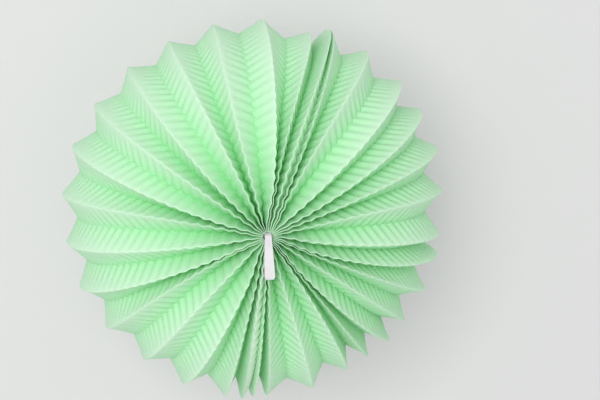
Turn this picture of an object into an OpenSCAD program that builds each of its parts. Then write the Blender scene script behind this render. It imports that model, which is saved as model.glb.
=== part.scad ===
// Pleated paper ball: two fan-folded sheets drawn together at both poles, with a hanging loop
// The origin is the middle of the ball. +Z is its axis, up to the pole with the loop.
// Angles around the axis start at the closing seam, on the -Y side, and run clockwise seen from above.
// Angles down the ball start at the top pole.

/* [Ball] */
// Radius over the outer folds
ball_r = 100; // [80:1:108]
// Radius of the hole that the gathered folds leave at each pole
gather_r = 3.2; // [3:0.1:6]
// Angle around the axis that the left sheet takes, the right one has the rest
left_span = 200; // [190:1:206]

/* [Pleats] */
// Pleats in each sheet
pleats = 15; // [15:1:22]
// Width of a face, from its outer fold to its inner fold
face_w = 14.5; // [13.5:0.5:20]
// Thickness of the paper
paper_t = 0.22; // [0.15:0.01:0.3]
// How far the pleats stray from even spacing, from 0 when new to 1 when handled
stray = 1; // [0:0.1:1]

/* [Cross creases] */
// Cross creases from pole to pole
creases = 22; // [12:1:24]
// Sideways swing of the inner folds from crease to crease
inner_swing = 1.8; // [0:0.1:2]
// The same of the outer folds near the poles, which run straight at the middle of the ball
outer_swing = 0.8; // [0:0.1:1.2]

/* [Seams] */
// Width of the flap that each sheet has at each end
flap_w = 12; // [9:0.5:13]
// Width of the adhesive tape on a flap
tape_w = 6; // [3:0.5:8]
// Thickness of the adhesive tape
tape_t = 0.12; // [0.08:0.01:0.2]
// Distance of the tape from the outer fold beside it
tape_inset = 0.8; // [0.5:0.1:2]
// Thickness of the paper liner left on the closing tape
liner_t = 0.1; // [0.06:0.01:0.15]
// Angle down the ball to which the liner is left
liner_end = 12; // [8:1:30]

/* [Tie and loop] */
// Diameter of the thread that ties the gathered folds
thread_d = 0.5; // [0.3:0.1:0.8]
// Depth of the thread below the top of the folds
thread_depth = 2.5; // [1:0.5:5]
// Width of the ribbon at the far end of the loop
ribbon_w = 4.4; // [3:0.1:6]
// Width of the ribbon where it is bunched in the hole
ribbon_neck_w = 2.8; // [2:0.1:3.6]
// Thickness of the ribbon
ribbon_t = 0.3; // [0.2:0.05:0.4]
// Reach of the loop from the axis
loop_l = 19.5; // [14:0.5:40]
// Angle between the loop and the closing seam
loop_turn = 10; // [-40:1:40]
// Radius of the knot below the gathered folds
knot_r = 4.2; // [3.8:0.1:6]

/* [Hidden] */

// Clearance between pieces that lie on each other
seat = 0.1;
// Each flap stands this far from the middle of its seam at its cut edge
flap_stand = tape_t / 2 + seat;
// The mitre inside a fold reaches no deeper than this, where the layers lie pressed together
fold_fill = 0.4 * face_w;
// Angle down the ball over which the bunched folds even out towards the gather
even_out = 12;
// Steps down the ball, two to a crease
steps = 2 * creases;
// Lines of a sheet: its two cut edges and all its folds
lines = 2 * pleats + 3;
// Half of the space between the two runs of the ribbon
ribbon_gap = 0.2;
// Height of the ribbon's bend above the pole
bend_h = 2;
// The knot bears on the lower ends of the gathered folds
knot_z = ball_r - face_w - seat - sqrt(knot_r * knot_r - gather_r * gather_r);

// Shares of each sheet's span, from one seam over its pleats to the other, around the middle
left_rim = [1.5, 5.5, 13.5, 14.5, 14.5, 13.5, 14, 14.5, 14.5, 14, 15, 14.5, 14.5, 14.5, 15, 6, 0.5];
right_rim = [0.5, 12, 13, 10.5, 12, 12.5, 13, 6.5, 11.5, 11.5, 7.5, 8.5, 8, 12, 14.5, 4.5, 1.5];
// The same near the poles, where the pleats bunch
left_top = [5.5, 4.5, 8.5, 22.5, 19.5, 2.5, 15.5, 19, 5.5, 18.5, 9.5, 20.5, 9.5, 23.5, 3, 7, 6];
right_top = [1, 4.5, 21.5, 12, 7.5, 8.5, 20, 12, 2.5, 9.5, 16, 2.5, 4.5, 17, 16, 3.5, 1];

function total(v) = v * [for (x = v) 1];

// One share for each pleat and each end gap, as even as stray says
function shares(v) =
    let (
        last = len(v) - 1,
        own = [
            for (i = [0:pleats + 1])
                i == 0 ? v[0] : i > pleats ? v[last] : v[1 + floor((i - 1) * (last - 1) / pleats)]
        ],
        ends = own[0] + own[pleats + 1],
        mean = (total(own) - ends) / pleats
    )
    [for (i = [0:pleats + 1]) i == 0 || i > pleats ? own[i] : mean + stray * (own[i] - mean)];

// Angles of the outer folds, worked out from the shares of a span
function fold_angles(start, span, v) =
    let (s = shares(v), k = span / total(s))
    [for (i = 0, a = s[0]; i <= pleats; i = i + 1, a = a + s[i]) start + k * a];

function even_angles(start, span) = [for (i = [0:pleats]) start + span * (i + 0.5) / (pleats + 1)];

// A sheet is its span and its outer folds around the middle, near the poles and at the gather
function sheet(start, span, rim, top) = [
    start, span, fold_angles(start, span, rim), fold_angles(start, span, top), even_angles(start, span),
];
left_sheet = sheet(0, left_span, left_rim, left_top);
right_sheet = sheet(left_span, 360 - left_span, right_rim, right_top);

// Weight of the even gather and of the bunched folds at an angle down the ball
function gather_share(t) = pow(max(0, 1 - min(t, 180 - t) / even_out), 2);
function top_share(t) = (1 - gather_share(t)) * (1 - sin(t)) / (1 - sin(even_out));

function outer_folds(s, t) =
    let (g = gather_share(t), b = top_share(t))
    [for (i = [0:pleats]) s[2][i] * (1 - g - b) + s[3][i] * b + s[4][i] * g];

// Distance from the axis of a point at depth rho, which is its distance from the middle of the ball
function axis_r(rho, t) = gather_r + (rho - gather_r) * sin(t);

// A point on the ball. The creases run straight across the faces, and all folds swing there to the
// same side, the more the deeper a point lies in the folds and the further it is from the poles.
function place(a, rho, t, step, depth = 0) =
    let (
        r = axis_r(rho, t),
        outer = outer_swing * pow(cos(t), 2),
        deeper = (inner_swing - outer) * sin(t) * depth / face_w,
        swing = (outer + deeper) * (1 - gather_share(t)) / 2,
        b = a + (step % 2 == 0 ? swing : -swing) / r * 180 / PI
    )
    [-r * sin(b), -r * cos(b), rho * cos(t)];

// Depth of a line at width w from an outer fold that is half a pleat away
function inner_rho(half, w, t) =
    let (c = pow(sin(t), 2) * cos(half) + pow(cos(t), 2))
    ball_r * c - sqrt(w * w - ball_r * ball_r * (1 - c * c));

// Slope of a face of width w against the depth of the ball
function slope(half, w, t) = asin(axis_r(ball_r, t) * sin(half) / w);

// Depth of the cut edge of a flap that starts at an outer fold
function flap_rho(away, t) = inner_rho(away, flap_w, t);

// The outer and the inner point of each line of a sheet at one angle down the ball
function section(s, t, step) =
    let (
        m = outer_folds(s, t),
        away0 = m[0] - s[0],
        away1 = s[0] + s[1] - m[pleats],
        halves = [for (i = [0:pleats - 1]) (m[i + 1] - m[i]) / 2],
        slopes = [
            slope(away0, flap_w, t),
            for (h = halves) each [slope(h, face_w, t), slope(h, face_w, t)],
            slope(away1, flap_w, t),
        ]
    )
    [
        for (k = [0:lines - 1])
            k == 0 ? edge_pair(s[0], 1, away0, t, step)
            : k == lines - 1 ? edge_pair(s[0] + s[1], -1, away1, t, step)
            : k % 2 == 1 ? ridge_pair(m[(k - 1) / 2], slopes[k - 1], slopes[k], t, step)
            : valley_pair(m[k / 2 - 1] + halves[k / 2 - 1], halves[k / 2 - 1], slopes[k - 1], slopes[k], t, step)
    ];

// Length of the mitre between two faces, from their slopes
function mitre(sl, sr) = min(paper_t / sin((sl + sr) / 2), fold_fill);

function ridge_pair(a, sl, sr, t, step) =
    let (
        l = mitre(sl, sr),
        rho = ball_r - l * cos((sr - sl) / 2),
        b = a + l * sin((sr - sl) / 2) / axis_r(rho, t) * 180 / PI
    )
    [place(a, ball_r, t, step), place(b, rho, t, step, l)];

function valley_pair(a, half, sl, sr, t, step) =
    let (
        l = mitre(sl, sr),
        rho = inner_rho(half, face_w, t)
    )
    [place(a, rho + l, t, step, face_w - l), place(a, rho, t, step, face_w)];

// A point beside a seam, at a distance to one side of the seam's plane
function beside(seam, side, off, rho, t, step) =
    place(seam + side * off / axis_r(rho, t) * 180 / PI, rho, t, step);

function edge_pair(seam, side, away, t, step) =
    let (rho = flap_rho(away, t))
    [
        beside(seam, side, flap_stand, rho, t, step),
        beside(seam, side, flap_stand + paper_t, rho, t, step),
    ];

function down(step) = 180 * step / steps;

// The facets of the flaps turn around at the middle, so that a tape lies flat on both halves
function turned(step) = step >= steps / 2;

// Each step of a face is two facets, split from its inner fold to its outer fold, down the ball
function split_from_next(step, k) = (k % 2 == 1) != ((k == 0 || k == lines - 2) && turned(step));

// One folded sheet as a closed skin: its outer side, its inner side and the cut edges between them
module pleated_sheet(s) {
    sections = [for (j = [0:steps]) section(s, down(j), j)];
    sides = lines * (steps + 1);
    points = [for (side = [0, 1]) for (p = sections) for (pair = p) pair[side]];
    outer = [
        for (j = [0:steps - 1])
            for (k = [0:lines - 2])
                let (a = j * lines + k, b = a + 1, c = b + lines, d = a + lines)
                each split_from_next(j, k) ? [[a, d, b], [d, c, b]] : [[a, d, c], [a, c, b]]
    ];
    inner = [for (f = outer) [f[2] + sides, f[1] + sides, f[0] + sides]];
    flap_edges = [
        for (j = [0:steps - 1])
            let (a = j * lines, d = a + lines, b = a + lines - 1, c = b + lines)
            each [[d, a, a + sides], [d, a + sides, d + sides], [b, c, c + sides], [b, c + sides, b + sides]]
    ];
    pole_edges = [
        for (k = [0:lines - 2])
            let (a = k, b = k + 1, d = steps * lines + k, c = d + 1)
            each k % 2 == 0
                ? [[a, b, b + sides], [a, b + sides, a + sides], [c, d, c + sides], [d, d + sides, c + sides]]
                : [[a, b, a + sides], [b, b + sides, a + sides], [c, d, d + sides], [c, d + sides, c + sides]]
    ];
    polyhedron(points, concat(outer, inner, flap_edges, pole_edges), convexity = 10);
}

// The four corners of a strip that lies on a flap, from one distance from the fold to another
function strip_corners(seam, side, fold, from, to, lift, thick, t, step) =
    let (
        away = abs(fold - seam),
        edge = flap_rho(away, t),
        fold_off = axis_r(ball_r, t) * away * PI / 180,
        lean = (flap_stand - fold_off) / flap_w
    )
    [
        for (corner = [[from, lift], [to, lift], [to, lift + thick], [from, lift + thick]])
            beside(
                seam, side, fold_off + lean * corner[0] - corner[1],
                ball_r + (edge - ball_r) * corner[0] / flap_w, t, step
            )
    ];

// A strip on the flap of a sheet, as a closed bar with four corners at each step.
// Its two wide sides are split as the flap is.
module flap_strip(seam, side, s, fold, from, to, lift, thick, last) {
    steps_used = [for (j = [1:steps - 1]) if (down(j - 1) < last) j];
    n = len(steps_used);
    points = [
        for (j = steps_used)
            each strip_corners(
                seam, side, outer_folds(s, down(j))[fold], from, to, lift, thick, down(j), j
            )
    ];
    walls = [
        for (j = [0:n - 2])
            for (k = [0:3])
                let (
                    a = 4 * j + k,
                    b = 4 * j + (k + 1) % 4,
                    c = b + 4,
                    d = a + 4,
                    quad = (k == 0) != turned(steps_used[j]) ? [[b, c, d], [b, d, a]] : [[a, b, c], [a, c, d]]
                )
                each side < 0 ? quad : [for (f = quad) [f[2], f[1], f[0]]]
    ];
    e = 4 * (n - 1);
    ends = side < 0 ? [[3, 2, 1, 0], [e, e + 1, e + 2, e + 3]] : [[0, 1, 2, 3], [e + 3, e + 2, e + 1, e]];
    polyhedron(points, concat(walls, ends), convexity = 10);
}

module pleated_sheet_left() {
    color("#c4f2cb") pleated_sheet(left_sheet);
}

module pleated_sheet_right() {
    color("#b9ecc2") pleated_sheet(right_sheet);
}

// The tape that joins the two sheets lies on the left sheet's far flap, down to its cut edge
module bonded_seam_tape() {
    color("#d8dcd4")
        flap_strip(left_span, -1, left_sheet, pleats, flap_w - tape_w - seat, flap_w - seat, seat, tape_t, 180);
}

// The tape that will close the ball lies beside the outer fold of the left sheet's near flap
module closing_seam_tape() {
    color("#d2e4d0")
        flap_strip(0, 1, left_sheet, 0, tape_inset, tape_inset + tape_w, seat, tape_t, 180);
}

module tape_liner() {
    color("white")
        flap_strip(
            0, 1, left_sheet, 0, tape_inset / 2, tape_inset + tape_w,
            2 * seat + tape_t, liner_t, liner_end
        );
}

module tie_thread() {
    rotate_extrude($fn = 64)
        translate([gather_r - seat - thread_d / 2, ball_r - thread_depth])
            circle(d = thread_d, $fn = 24);
}

module tie_thread_top() {
    color("white") tie_thread();
}

module tie_thread_bottom() {
    color("white") mirror([0, 0, 1]) tie_thread();
}

// Height of the outer folds at a distance from the axis
function fold_z(r) = ball_r * cos(asin((r - gather_r) / (ball_r - gather_r)));

// Space inside the loop, seen from the side: up through the hole, then lying over the folds
module loop_space() {
    reach = loop_l - ribbon_t - ribbon_gap;
    lie_h = ribbon_t + ribbon_gap + 2 * seat;
    path = [
        [0, knot_z],
        [0, ball_r + bend_h],
        for (share = [0.25:0.25:1]) [reach * share, fold_z(reach * share) + lie_h],
    ];
    upper_run = [for (p = path) p + [-ribbon_gap, ribbon_gap]];
    lower_run = [for (i = [len(path) - 1:-1:0]) path[i] + [ribbon_gap, -ribbon_gap]];
    polygon(concat(upper_run, lower_run));
}

module hanging_loop() {
    color("white")
        rotate([0, 0, loop_turn]) {
            intersection() {
                rotate([90, 0, -90])
                    linear_extrude(2 * ribbon_w, center = true)
                        difference() {
                            offset(r = ribbon_t, $fn = 24) loop_space();
                            loop_space();
                        }
                translate([0, 0, knot_z])
                    linear_extrude(ball_r)
                        loop_plan();
            }
            translate([0, 0, knot_z])
                sphere(r = knot_r, $fn = 48);
        }
}

// The loop seen from above: narrow in the hole and full width with round corners at its end
module loop_plan() {
    corner = 0.3 * ribbon_w;
    neck_d = ribbon_gap + ribbon_t + seat;
    hull() {
        translate([-ribbon_neck_w / 2, -neck_d])
            square([ribbon_neck_w, 2 * neck_d]);
        for (x = [-1, 1])
            translate([x * (ribbon_w / 2 - corner), corner - loop_l - seat])
                circle(r = corner, $fn = 32);
    }
}

pleated_sheet_left();
pleated_sheet_right();
bonded_seam_tape();
closing_seam_tape();
tape_liner();
tie_thread_top();
tie_thread_bottom();
hanging_loop();
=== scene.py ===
import bpy
import math
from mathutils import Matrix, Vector


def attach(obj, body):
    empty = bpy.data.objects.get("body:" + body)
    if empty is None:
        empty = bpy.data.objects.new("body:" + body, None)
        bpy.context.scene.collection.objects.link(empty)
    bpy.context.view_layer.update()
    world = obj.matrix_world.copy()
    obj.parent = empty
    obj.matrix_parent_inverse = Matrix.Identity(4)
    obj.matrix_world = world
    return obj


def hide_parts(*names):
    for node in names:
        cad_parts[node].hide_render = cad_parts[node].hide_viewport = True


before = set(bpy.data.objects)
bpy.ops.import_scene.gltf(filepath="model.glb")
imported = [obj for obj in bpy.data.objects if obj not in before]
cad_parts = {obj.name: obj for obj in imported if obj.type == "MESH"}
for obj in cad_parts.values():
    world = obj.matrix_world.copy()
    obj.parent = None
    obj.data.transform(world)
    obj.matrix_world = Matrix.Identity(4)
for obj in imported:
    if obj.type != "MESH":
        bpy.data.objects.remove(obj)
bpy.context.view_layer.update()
print("packed model loaded,", len(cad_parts), "nodes")

# the ball as a whole, in metres and degrees: the part's own values, but for a narrower hole
ball = {
    "radius": 0.1,
    "gatherRadius": 0.0026,  # hole that the gathered folds leave
    "leftSpan": 200,
    "pleats": 15,
    "faceWidth": 0.0145,
    "flapWidth": 0.012,
    "flapStand": 0.00016,  # each flap's distance from the middle of its seam
    "flapBend": 0.55,  # share of its width after which a flap lies along the seam
    "evenOut": 12,  # angle over which the bunched folds even out towards the gather
}

# shares of the span from seam to seam, at the rim and near the poles, and how far each
# outer fold of the handled ball stands out from a true round at the rim, in percent
leftSheet = {
    "start": 0,
    "span": ball["leftSpan"],
    "out": [0, -0.5, -1, -2.5, -1, -0.5, -1, 0, 0, -1, -1.5, -2, -1.5, -1, -3.5, 1.5],
    "rim": [1.5, 5.5, 13.5, 14, 15, 14.5, 14, 14.5, 14.5, 14, 15, 14.5, 14.5, 15, 15, 5.2, 0.3],
    "top": [5.5, 4.5, 8.5, 22.5, 19.5, 2.5, 15.5, 19, 5.5, 18.5, 9.5, 20.5, 9.5, 23.5, 3, 7, 6],
}
rightSheet = {
    "start": ball["leftSpan"],
    "span": 360 - ball["leftSpan"],
    "out": [1.5, 1.5, 1.5, 2, 1.5, -0.5, -1.5, -0.5, 0, -1, -0.5, -1.5, -1.5, -0.5, -1.5, -1.5],
    "rim": [0.3, 12.2, 13, 10.5, 12, 12.5, 13, 6.5, 11.5, 11.5, 7.5, 8.5, 8, 12, 14.5, 4.5, 1.5],
    "top": [1, 4.5, 21.5, 12, 7.5, 8.5, 20, 12, 2.5, 9.5, 16, 2.5, 4.5, 17, 16, 3.5, 1],
}

paper = {
    "thickness": 0.00022,
    "crimps": 51.33,  # cross creases from pole to pole
    "rowsPerCrimp": 6,
    "columns": [0, 0.025, 0.2, 0.42, 0.68, 1],  # shares of a face's width, from its outer fold
    "foldRound": 0.00014,  # how much the rounded crest of an outer fold is widened to each side
    "innerSwing": 0.0016,  # sideways swing of the inner folds from crease to crease
    "outerSwing": 0.0008,  # and of the outer folds near the poles
    "creaseStart": 0.08,  # share of a face after which the swing grows towards that of its inner fold
    "rimDelay": 0.3,  # how much further in that is at the rim
    "creaseGrowth": 0.62,  # share of a face over which it grows
}


def deselectAll():
    bpy.ops.object.select_all(action="DESELECT")


def foldAngles(sheet, key):
    shares = sheet[key]
    scale = sheet["span"] / sum(shares)
    angles, at = [], sheet["start"]
    for share in shares[:-1]:
        at += share * scale
        angles.append(at)
    return angles


def gatherShare(t):
    return max(0, 1 - min(t, 180 - t) / ball["evenOut"]) ** 2


def outerFolds(sheet, t):
    g = gatherShare(t)
    b = (1 - g) * (1 - math.sin(math.radians(t))) / (1 - math.sin(math.radians(ball["evenOut"])))
    rim, top = foldAngles(sheet, "rim"), foldAngles(sheet, "top")
    count = ball["pleats"] + 1
    even = [sheet["start"] + sheet["span"] * (i + 0.5) / count for i in range(count)]
    return [r * (1 - g - b) + p * b + e * g for r, p, e in zip(rim, top, even)]


def axisDistance(rho, t):
    return ball["gatherRadius"] + (rho - ball["gatherRadius"]) * math.sin(math.radians(t))


def foldRadii(sheet, t):
    s = math.sin(math.radians(t)) ** 2
    return [ball["radius"] * (1 + out / 100 * s) for out in sheet["out"]]


def innerDepth(half, width, t, radius):
    s = math.sin(math.radians(t)) ** 2
    c = s * math.cos(math.radians(half)) + 1 - s
    return radius * c - math.sqrt(width * width - radius * radius * (1 - c * c))


# sideways place at this row, for a line this far across a face (0 outer fold, 1 inner fold)
def creaseSwing(row, t, across):
    s = math.sin(math.radians(t))
    outer = paper["outerSwing"] * (1 - s * s)
    reach = (across - paper["creaseStart"] - paper["rimDelay"] * s * s) / paper["creaseGrowth"]
    reach = max(0, min(1, reach))
    deeper = (paper["innerSwing"] - outer) * math.sqrt(s)
    swing = outer + deeper * reach * reach * (3 - 2 * reach)
    turn = ((row + 0.5) / paper["rowsPerCrimp"] + 0.25) % 1
    zigzag = 4 * abs(turn - 0.5) - 1
    return -swing / 2 * (1 - gatherShare(t)) * zigzag


def spot(angle, rho, t, shift=0):
    r = axisDistance(rho, t)
    a = math.radians(angle) + shift / r
    return Vector((-r * math.sin(a), -r * math.cos(a), rho * math.cos(math.radians(t))))


# the same point moved sideways round the axis
def swung(place, shift):
    r = math.hypot(place.x, place.y)
    c, s = math.cos(shift / r), math.sin(shift / r)
    return Vector((place.x * c + place.y * s, place.y * c - place.x * s, place.z))


# a flap leans to its seam and then hangs inwards beside it
def flapSpot(seam, side, fold, radius, t, across):
    rho = innerDepth(abs(fold - seam), ball["flapWidth"], t, radius)
    lean = min(1, across / ball["flapBend"])
    angle, depth = fold + (seam - fold) * lean, radius + (rho - radius) * across
    return spot(angle, depth, t, side * ball["flapStand"] * lean)


# the points of a sheet at one row, flap, faces and flap, before the creases move them sideways,
# each with its share of the way from its outer fold inwards
def sheetPoints(sheet, t):
    folds, radii = outerFolds(sheet, t), foldRadii(sheet, t)
    columns, end = paper["columns"], sheet["start"] + sheet["span"]
    push = [0, paper["foldRound"]] + [0] * (len(columns) - 2)  # rounds the crest
    down = list(zip(columns, push))  # from an outer fold inwards
    up = down[:0:-1]  # and back out, short of the next outer fold
    points = [(swung(flapSpot(sheet["start"], 1, folds[0], radii[0], t, s), -p), s) for s, p in up]
    for i, fold in enumerate(folds[:-1]):
        half = (folds[i + 1] - fold) / 2
        rho = innerDepth(half, ball["faceWidth"], t, (radii[i] + radii[i + 1]) / 2)
        inner = spot(fold + half, rho, t)
        outer, after = spot(fold, radii[i], t), spot(folds[i + 1], radii[i + 1], t)
        points += [(swung(outer.lerp(inner, s), p), s) for s, p in down[:-1]]
        points += [(swung(after.lerp(inner, s), -p), s) for s, p in up]
    points += [(swung(flapSpot(end, -1, folds[-1], radii[-1], t, s), p), s) for s, p in down]
    return points


rows = round(paper["crimps"] * paper["rowsPerCrimp"])


def rowAngle(row):
    return 180 * row / rows


def finishPiece(piece, name, replaced, angle=50):
    piece.name = name
    piece.data.name = name + "_mesh"
    deselectAll()
    piece.select_set(True)
    bpy.context.view_layer.objects.active = piece
    bpy.ops.object.shade_smooth_by_angle(angle=math.radians(angle))
    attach(piece, "root")
    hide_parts(replaced)
    return piece


# a flat grid, and the column and row of each of its points
def addGrid(columns, rowCount):
    deselectAll()
    bpy.ops.mesh.primitive_grid_add(x_subdivisions=columns, y_subdivisions=rowCount, size=2)
    grid = bpy.context.object
    cells = []
    for vertex in grid.data.vertices:
        x, y = (vertex.co.x + 1) / 2, (vertex.co.y + 1) / 2
        cells.append((round(x * columns), round(y * rowCount)))
    return grid, cells


def thicken(piece, thickness):
    bpy.context.view_layer.objects.active = piece
    solid = piece.modifiers.new("thickness", "SOLIDIFY")
    solid.thickness = thickness
    solid.offset = -1
    bpy.ops.object.modifier_apply(modifier="thickness")


def foldedSheet(name, sheet, replaced):
    faces = 2 * ball["pleats"] + 2  # with the two flaps
    perFace = len(paper["columns"]) - 1
    grid, cells = addGrid(faces * perFace, rows)
    points = [sheetPoints(sheet, rowAngle(row)) for row in range(rows + 1)]
    crest = grid.data.attributes.new("crest", "FLOAT", "POINT")
    for vertex, (column, row) in zip(grid.data.vertices, cells):
        place, across = points[row][column]
        vertex.co = swung(place, creaseSwing(row, rowAngle(row), across))
        crest.data[vertex.index].value = 1 - across
    grid.data.update()
    thicken(grid, paper["thickness"])
    return finishPiece(grid, name, replaced)


leftPaper = foldedSheet("folded_paper_left", leftSheet, "pleated_sheet_left")
rightPaper = foldedSheet("folded_paper_right", rightSheet, "pleated_sheet_right")
print("two sheets folded,", len(leftPaper.data.polygons) + len(rightPaper.data.polygons), "faces")

# strips on the flaps of the left sheet: distance of both edges from the outer fold, lift off
# the paper, and the angle down the ball at which the strip ends
strips = {
    "bonded_tape": {
        "replaces": "bonded_seam_tape", "slot": "seam_tape",
        "seam": ball["leftSpan"], "side": -1, "fold": -1, "from": 0.0059, "to": 0.0119,
        "lift": 0.0001, "thickness": 0.00012, "last": 180,
    },
    "closing_tape": {
        "replaces": "closing_seam_tape", "slot": "seam_tape",
        "seam": 0, "side": 1, "fold": 0, "from": 0.0008, "to": 0.0068,
        "lift": 0.0001, "thickness": 0.00012, "last": 180,
    },
    "release_paper": {
        "replaces": "tape_liner", "slot": "tape_liner",
        "seam": 0, "side": 1, "fold": 0, "from": 0.0004, "to": 0.0068,
        "lift": 0.00032, "thickness": 0.0001, "last": 12,
    },
}


def flapStrip(name, strip):
    lastRow = max(row for row in range(1, rows) if rowAngle(row) < strip["last"])
    seam, side, end = strip["seam"], strip["side"], strip["fold"]
    out = Vector((-math.cos(math.radians(seam)), math.sin(math.radians(seam)), 0))
    columns = 3
    grid, cells = addGrid(columns, lastRow - 1)
    for vertex, (column, down) in zip(grid.data.vertices, cells):
        row = down + 1
        t = rowAngle(row)
        fold, radius = outerFolds(leftSheet, t)[end], foldRadii(leftSheet, t)[end]
        share = column / columns if side < 0 else 1 - column / columns
        across = (strip["from"] + (strip["to"] - strip["from"]) * share) / ball["flapWidth"]
        at = swung(flapSpot(seam, side, fold, radius, t, across), creaseSwing(row, t, across))
        vertex.co = at - out * side * (strip["lift"] + strip["thickness"])
    grid.data.update()
    thicken(grid, strip["thickness"])
    return finishPiece(grid, name, strip["replaces"])


stripPieces = {name: flapStrip(name, strip) for name, strip in strips.items()}
print("tapes and liner laid on the flaps")

thread = {
    "diameter": 0.0005,
    "depth": 0.0025,  # below the top of the folds
    "seat": 0.0001,  # space between it and the hole's wall
    "twists": 26,
    "waist": 0.66,  # thickness where the two plies meet
}


def tieThread(name, top):
    ring = ball["gatherRadius"] - thread["seat"] - thread["diameter"] / 2
    height = ball["radius"] - thread["depth"]
    middle = height if top else -height
    deselectAll()
    bpy.ops.mesh.primitive_torus_add(
        major_radius=ring, minor_radius=thread["diameter"] / 2, major_segments=208, minor_segments=16,
        location=(0, 0, middle),
    )
    piece = bpy.context.object
    bpy.ops.object.transform_apply(location=True, rotation=True, scale=True)
    for vertex in piece.data.vertices:  # two plies twisted round each other
        x, y, z = vertex.co
        turn = math.atan2(y, x)
        out, up = math.hypot(x, y) - ring, z - middle
        ply = abs(math.cos(math.atan2(up, out) - thread["twists"] * turn / 2))
        scale = thread["waist"] + (1 - thread["waist"]) * ply
        r = ring + out * scale
        vertex.co = (r * math.cos(turn), r * math.sin(turn), middle + up * scale)
    piece.data.update()
    return finishPiece(piece, name, "tie_" + name, 70)


threadPieces = [tieThread("thread_top", True), tieThread("thread_bottom", False)]
print("tie threads twisted")

ribbon = {
    "width": 0.0049,
    "neckWidth": 0.0030,  # where it is bunched in the hole
    "thickness": 0.0003,
    "gap": 0.0002,  # half of the space between the two runs
    "reach": 0.0195,
    "turn": 6,  # angle from the closing seam
    "steps": 48,  # along one run
    "bendHeight": 0.0018,
    "upright": 0.004,  # how far below the pole it is upright
    "rise": 0.001,  # it comes up on the far side of the hole
    "clear": 0.0002,  # space above the folds
    "roundEnd": 0.0016,  # length over which the far end is rounded
    "roundDepth": 0.6,  # share of its squared width that the very end loses
    "cup": 0.00022,  # how far the edges stand up from the middle
    "turnedEdge": 0.0007,  # how far the left edge turns down
    "turnedFrom": 0.45,  # share of the half width at which that begins
}
knot = {
    "radius": 0.0042,
    "inset": 0.0002,  # room for the relief
    "seat": 0.0001,  # space below the gathered folds
    "wraps": 5,
    "slant": 0.4,
    "twist": 900,  # radians a metre
    "relief": 0.035,  # share of the radius
}
knotBearing = math.sqrt(knot["radius"] ** 2 - ball["gatherRadius"] ** 2)
knotHeight = ball["radius"] - ball["faceWidth"] - knot["seat"] - knotBearing


def foldHeight(r):
    share = (r - ball["gatherRadius"]) / (ball["radius"] - ball["gatherRadius"])
    return ball["radius"] * math.cos(math.asin(max(-1, min(1, share))))


# the middle line between the two runs, from the knot to the far end, as distance and height
def ribbonPath():
    reach = ribbon["reach"] - ribbon["thickness"] - ribbon["gap"]
    lie = ribbon["thickness"] + ribbon["gap"] + ribbon["clear"]
    corners = [Vector((0, knotHeight))]
    for height in (-ribbon["upright"], ribbon["bendHeight"]):
        corners.append(Vector((-ribbon["rise"], ball["radius"] + height)))
    corners += [Vector((reach * s, foldHeight(reach * s) + lie)) for s in (0.25, 0.5, 0.75, 1)]
    return corners


def alongPath(corners, steps):
    lengths = [0]
    for a, b in zip(corners, corners[1:]):
        lengths.append(lengths[-1] + (b - a).length)
    points = []
    for i in range(steps + 1):
        want = lengths[-1] * i / steps
        k = max(j for j in range(len(lengths) - 1) if lengths[j] <= want + 1e-9)
        share = (want - lengths[k]) / (lengths[k + 1] - lengths[k])
        points.append(corners[k].lerp(corners[k + 1], share))
    return points


# up one run, round the bend at the far end and back along the other
def ribbonRun():
    steps = ribbon["steps"]
    path = alongPath(ribbonPath(), steps)
    slopes = [(path[min(i + 1, steps)] - path[max(i - 1, 0)]).normalized() for i in range(steps + 1)]
    side = [Vector((-s.y, s.x)) for s in slopes]  # to the upper run
    gap = ribbon["gap"] + ribbon["thickness"]
    upper = [p + n * gap for p, n in zip(path, side)]
    lower = [p - n * gap for p, n in zip(path, side)]
    end, ahead, normal = path[-1], slopes[-1], side[-1]
    bend = [
        end + normal * gap * math.cos(math.radians(a)) + ahead * gap * math.sin(math.radians(a))
        for a in range(20, 180, 20)
    ]
    return upper + bend + lower[::-1]


def ribbonLoop():
    run = ribbonRun()
    columns = 8
    grid, cells = addGrid(columns, len(run) - 1)
    turn = math.radians(ribbon["turn"])
    outward = Vector((math.sin(turn), -math.cos(turn), 0))
    sideways = Vector((math.cos(turn), math.sin(turn), 0))
    for vertex, (column, row) in zip(grid.data.vertices, cells):
        reach, height = run[row]
        share = max(0, min(1, reach / ribbon["reach"]))
        width = ribbon["neckWidth"] + (ribbon["width"] - ribbon["neckWidth"]) * share ** 0.8
        fromEnd = max(0, 1 - (ribbon["reach"] - reach) / ribbon["roundEnd"])
        width *= math.sqrt(1 - ribbon["roundDepth"] * fromEnd ** 2)
        across = column / columns * 2 - 1
        opened = min(1, share * 3)  # it is flat in the hole
        folded = max(0, (-across - ribbon["turnedFrom"]) / (1 - ribbon["turnedFrom"]))
        cup = ribbon["cup"] * (across * across - 0.3) * opened
        cup -= ribbon["turnedEdge"] * folded * opened
        vertex.co = outward * reach + sideways * across * width / 2 + Vector((0, 0, height + cup))
    grid.data.update()
    thicken(grid, ribbon["thickness"])
    return grid


def ribbonKnot():
    deselectAll()
    bpy.ops.mesh.primitive_uv_sphere_add(
        segments=64, ring_count=32, radius=knot["radius"] - knot["inset"], location=(0, 0, knotHeight)
    )
    tied = bpy.context.object
    bpy.ops.object.transform_apply(location=True, rotation=True, scale=True)
    for vertex in tied.data.vertices:  # wraps of the ribbon
        x, y, z = vertex.co.x, vertex.co.y, vertex.co.z - knotHeight
        around = math.atan2(z + knot["slant"] * x, y)
        wrap = math.cos(knot["wraps"] * around + knot["twist"] * x)
        vertex.co = Vector((x, y, z)) * (1 + knot["relief"] * wrap) + Vector((0, 0, knotHeight))
    tied.data.update()
    return tied


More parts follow.
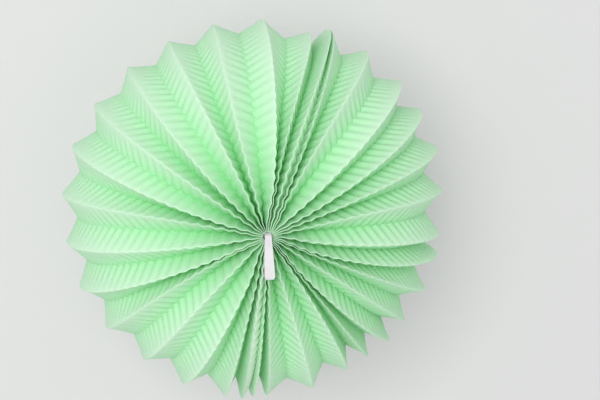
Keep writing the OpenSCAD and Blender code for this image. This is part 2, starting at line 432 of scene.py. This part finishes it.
loopPiece, knotPiece = ribbonLoop(), ribbonKnot()
knotPiece.select_set(True)
loopPiece.select_set(True)
bpy.context.view_layer.objects.active = loopPiece
bpy.ops.object.join()
finishPiece(loopPiece, "ribbon_loop", "hanging_loop", 60)
print("ribbon loop bent and knotted")


class Shader:
    def __init__(self, name):
        self.material = bpy.data.materials.new(name)
        self.material.use_nodes = True
        self.tree = self.material.node_tree
        self.tree.nodes.clear()

    # any node: its type, its settings, then values or links for its sockets, by name or by number
    def node(self, kind, settings=None, **sockets):
        made = self.tree.nodes.new(kind)
        for key, value in (settings or {}).items():
            setattr(made, key, value)
        for key, value in sockets.items():
            numbered = key[0] == "n" and key[1:].isdigit()
            socket = made.inputs[int(key[1:]) if numbered else key.replace("_", " ")]
            if isinstance(value, Value):
                self.tree.links.new(value.socket, socket)
            else:
                socket.default_value = value
        return made

    def value(self, made, output=0):
        return Value(self, made.outputs[output])

    def noise(self, vector, scale, detail=3, roughness=0.5):
        return self.value(self.node(
            "ShaderNodeTexNoise", None, Vector=vector, Scale=scale, Detail=detail, Roughness=roughness
        ))

    def mix(self, factor, a, b):
        return self.value(self.node("ShaderNodeMix", {"data_type": "RGBA"}, n0=factor, n6=a, n7=b), 2)

    def bump(self, height, strength, distance):
        made = self.node("ShaderNodeBump", None, Height=height, Strength=strength, Distance=distance)
        return self.value(made)

    def spread(self, vector, x, y, z):
        made = self.node("ShaderNodeVectorMath", {"operation": "MULTIPLY"}, n0=vector, n1=(x, y, z))
        return self.value(made)

    def output(self, surface):
        self.node("ShaderNodeOutputMaterial", None, Surface=self.value(surface))
        return self.material


class Value:
    def __init__(self, shader, socket):
        self.shader, self.socket = shader, socket

    def math(self, operation, a, b, clamp=False):
        made = self.shader.node("ShaderNodeMath", {"operation": operation, "use_clamp": clamp}, n0=a, n1=b)
        return self.shader.value(made)

    def __add__(self, other):
        return self.math("ADD", self, other)

    def __radd__(self, other):
        return self.math("ADD", other, self)

    def __sub__(self, other):
        return self.math("SUBTRACT", self, other)

    def __rsub__(self, other):
        return self.math("SUBTRACT", other, self)

    def __mul__(self, other):
        return self.math("MULTIPLY", self, other)

    def __rmul__(self, other):
        return self.math("MULTIPLY", other, self)

    def __pow__(self, other):
        return self.math("POWER", self, other)

    def clamped(self):
        return self.math("ADD", self, 0.0, True)


def coordinates(shader, output="Object"):
    return shader.value(shader.node("ShaderNodeTexCoord"), output)


def attribute(shader, name):
    return shader.value(shader.node("ShaderNodeAttribute", {"attribute_name": name}), "Fac")


paperLook = {
    "colour": (0.54, 0.91, 0.59, 1),  # paper in the inner folds, painted a deeper green for the shade between them
    "litPaler": (0.80, 0.97, 0.83, 1),  # paper on the outside, painted paler where more light falls on it
    "deep": (0.62, 0.92, 0.66, 1),  # mottles of thicker paper
    "rubbedAndLit": (0.88, 0.98, 0.90, 1),  # rubbed outer folds, with a painted highlight where their edges catch the light
    "through": (0.40, 0.90, 0.46, 1),  # light that comes through
    "throughShare": 0.28,
    "roughness": 0.75,
    "crestPaintedLight": 0.75,  # how much painted light makes the outer folds paler
    "rimPaintedLight": 0.35,  # and how much more the rim gets, leaving painted shade towards the poles
    "mottling": 0.2,
    "crestLine": 18,  # a higher number makes the rubbed, painted highlight line on the outer folds thinner
    "gatherLine": 14,  # how much lower it is at the poles
    "wearAndHighlight": 0.4,
    "gatherWearAndHighlight": 0.55,  # how much more the gathered folds are rubbed and painted with highlight
}


def paperMaterial(name, seed):
    s = Shader(name)
    place = coordinates(s)
    crest = attribute(s, "crest")
    mottle = s.noise(s.spread(place, 1, 1, 1 + 0.01 * seed), 70, 4)
    fibre = s.noise(s.spread(place, 1, 1, 0.35), 1800, 3, 0.6)
    outwards = s.node("ShaderNodeVectorMath", {"operation": "LENGTH"}, n0=s.spread(place, 10, 10, 0))
    axis = s.value(outwards, 1)  # distance from the axis, 1 at the rim
    # painted light and shade: paler towards the outer folds and the rim, deeper green in the inner folds and
    # near the poles
    paintedLightShare = (crest * paperLook["crestPaintedLight"] + (axis ** 2) * paperLook["rimPaintedLight"]).clamped()
    colour = s.mix(paintedLightShare, paperLook["colour"], paperLook["litPaler"])
    mottled = ((mottle - 0.35) * 1.3).clamped() * paperLook["mottling"]
    colour = s.mix(mottled, colour, paperLook["deep"])
    gathered = (1.15 - axis * 6).clamped()  # the folds get the most rubbing and painted highlight where they are gathered
    # painted highlight along the outer folds, together with real rubbing
    line = (crest ** (paperLook["crestLine"] - paperLook["gatherLine"] * gathered)).clamped()
    wearAndHighlight = line * (paperLook["wearAndHighlight"] + paperLook["gatherWearAndHighlight"] * gathered)
    colour = s.mix(wearAndHighlight, colour, paperLook["rubbedAndLit"])
    surface = s.node(
        "ShaderNodeBsdfPrincipled", None, Base_Color=colour,
        Roughness=fibre * 0.12 + (paperLook["roughness"] - 0.06), IOR=1.45,
        Normal=s.bump(fibre + mottle * 0.5, 0.25, 0.0001),
    )
    behind = s.node("ShaderNodeBsdfTranslucent", None, Color=paperLook["through"])
    return s.output(s.node(
        "ShaderNodeMixShader", None, n0=paperLook["throughShare"], n1=s.value(surface), n2=s.value(behind)
    ))


tapeLook = {"glue": (0.74, 0.88, 0.74, 1), "smeared": (0.84, 0.90, 0.82, 1), "roughness": 0.3}


def tapeMaterial():
    s = Shader("seam tape")
    place = coordinates(s)
    glue = s.noise(place, 900, 4, 0.6)
    smear = s.noise(s.spread(place, 1, 1, 0.3), 160, 2)
    colour = s.mix(((smear - 0.3) * 1.6).clamped(), tapeLook["glue"], tapeLook["smeared"])
    return s.output(s.node(
        "ShaderNodeBsdfPrincipled", None, Base_Color=colour,
        Roughness=glue * 0.25 + tapeLook["roughness"], IOR=1.47, Normal=s.bump(glue, 0.3, 0.00005),
    ))


linerLook = {"creased": (0.88, 0.88, 0.87, 1), "plain": (0.95, 0.95, 0.94, 1), "roughness": 0.32}


def linerMaterial():
    s = Shader("release paper")
    place = coordinates(s)
    fibre = s.noise(place, 1500, 3, 0.6)
    crease = s.noise(s.spread(place, 1, 1, 2), 220, 2)
    return s.output(s.node(
        "ShaderNodeBsdfPrincipled", None, Base_Color=s.mix(crease, linerLook["creased"], linerLook["plain"]),
        Roughness=fibre * 0.2 + linerLook["roughness"], IOR=1.46,
        Normal=s.bump(fibre + crease, 0.2, 0.00005),
    ))


threadLook = {"between": (0.70, 0.70, 0.67, 1), "fuzz": (0.92, 0.92, 0.90, 1), "roughness": 0.6}


def threadMaterial():
    s = Shader("sewing thread")
    fuzz = s.noise(coordinates(s), 5200, 3, 0.6)
    return s.output(s.node(
        "ShaderNodeBsdfPrincipled", None, Base_Color=s.mix(fuzz, threadLook["between"], threadLook["fuzz"]),
        Roughness=fuzz * 0.2 + threadLook["roughness"], Normal=s.bump(fuzz, 0.4, 0.00004), Sheen_Weight=0.3,
    ))


ribbonLook = {
    "shaded": (0.54, 0.53, 0.54, 1),
    "lit": (0.66, 0.65, 0.66, 1),
    "roughness": 0.42,
    "weftScale": 42.0,
    "warpScale": 5.0,
}


def ribbonMaterial():
    s = Shader("woven ribbon")
    place = coordinates(s, "UV")
    weft = s.value(s.node(
        "ShaderNodeTexWave", {"wave_type": "BANDS", "bands_direction": "Y"}, Vector=place,
        Scale=ribbonLook["weftScale"], Distortion=0.6, Detail=1.0, Detail_Scale=3.0,
    ), 1)
    warp = s.value(s.node(
        "ShaderNodeTexWave", {"wave_type": "BANDS", "bands_direction": "X"}, Vector=place,
        Scale=ribbonLook["warpScale"], Distortion=0.3,
    ), 1)
    weave = weft * 0.6 + warp * 0.4
    soil = s.noise(coordinates(s), 300, 2)
    colour = s.mix((weave * 0.5 + soil * 0.5).clamped(), ribbonLook["shaded"], ribbonLook["lit"])
    return s.output(s.node(
        "ShaderNodeBsdfPrincipled", None, Base_Color=colour, Roughness=weave * 0.15 + ribbonLook["roughness"],
        Normal=s.bump(weave, 0.35, 0.00005), Sheen_Weight=0.2,
    ))


def dress(piece, material):
    piece.data.materials.clear()
    piece.data.materials.append(material)


dress(leftPaper, paperMaterial("mint paper left", 1))
dress(rightPaper, paperMaterial("mint paper right", 2))
tapeFinish, threadFinish = tapeMaterial(), threadMaterial()
dress(stripPieces["bonded_tape"], tapeFinish)
dress(stripPieces["closing_tape"], tapeFinish)
dress(stripPieces["release_paper"], linerMaterial())
for piece in threadPieces:
    dress(piece, threadFinish)
dress(loopPiece, ribbonMaterial())
print("materials made")

# pale floor under the ball, and the soft light of the room
studio = {
    "floorHeight": -0.16,
    "floorColour": (0.66, 0.66, 0.66, 1),
    "floorGrain": 0.985,  # how much darker the floor's grain is
    "roomColour": (0.80, 0.80, 0.80, 1),
    "roomLight": 0.78,
}
keyLamp = {"place": (-0.26, 0.2, 1.2), "size": 0.5, "power": 9}
photoCamera = {
    "place": (-0.0502, 0.09323, 0.69195),
    "turn": (-7.554, -5.7403, 3.2222),
    "lens": 79.314,
    "sensor": 36,
}


def studioFloor():
    deselectAll()
    bpy.ops.mesh.primitive_plane_add(size=6, location=(0, 0, studio["floorHeight"]))
    floor = bpy.context.object
    floor.name = "studio_floor"
    s = Shader("pale floor")
    grain = s.noise(coordinates(s), 30, 2)
    darker = tuple(c * studio["floorGrain"] for c in studio["floorColour"][:3]) + (1,)
    dress(floor, s.output(s.node(
        "ShaderNodeBsdfPrincipled", None, Base_Color=s.mix(grain, studio["floorColour"], darker),
        Roughness=0.9, Specular_IOR_Level=0.1,
    )))


# the room looks pale where it is seen, and lights the ball a little less
def studioRoom():
    world = bpy.data.worlds.new("room")
    bpy.context.scene.world = world
    world.use_nodes = True
    tree = world.node_tree
    tree.nodes.clear()
    shown = tree.nodes.new("ShaderNodeBackground")
    shown.inputs[0].default_value = studio["roomColour"]
    shown.inputs[1].default_value = 1
    lit = tree.nodes.new("ShaderNodeBackground")
    lit.inputs[0].default_value = (1, 1, 1, 1)
    lit.inputs[1].default_value = studio["roomLight"]
    rays = tree.nodes.new("ShaderNodeLightPath")
    seen = rays.outputs["Is Camera Ray"]
    for ray in ("Is Glossy Ray", "Is Transmission Ray"):
        either = tree.nodes.new("ShaderNodeMath")
        either.operation = "MAXIMUM"
        tree.links.new(seen, either.inputs[0])
        tree.links.new(rays.outputs[ray], either.inputs[1])
        seen = either.outputs[0]
    mixed = tree.nodes.new("ShaderNodeMixShader")
    out = tree.nodes.new("ShaderNodeOutputWorld")
    tree.links.new(seen, mixed.inputs[0])
    tree.links.new(lit.outputs[0], mixed.inputs[1])
    tree.links.new(shown.outputs[0], mixed.inputs[2])
    tree.links.new(mixed.outputs[0], out.inputs[0])


def softLamp(name, settings):
    deselectAll()
    bpy.ops.object.light_add(type="AREA", location=settings["place"])
    lamp = bpy.context.object
    lamp.name = name
    lamp.data.shape = "SQUARE"
    lamp.data.size = settings["size"]
    lamp.data.energy = settings["power"]
    lamp.rotation_euler = (-Vector(settings["place"])).to_track_quat("-Z", "Y").to_euler()


studioFloor()
studioRoom()
softLamp("key", keyLamp)
print("floor, room and lamp set")

bpy.ops.object.camera_add(
    location=photoCamera["place"], rotation=tuple(math.radians(a) for a in photoCamera["turn"])
)
camera = bpy.context.object
camera.data.lens = photoCamera["lens"]
camera.data.sensor_width = photoCamera["sensor"]
bpy.context.scene.camera = camera
bpy.context.scene.view_settings.view_transform = "Standard"
bpy.context.scene.cycles.diffuse_bounces = 12  # light goes on between the folds
bpy.context.scene.cycles.max_bounces = 20
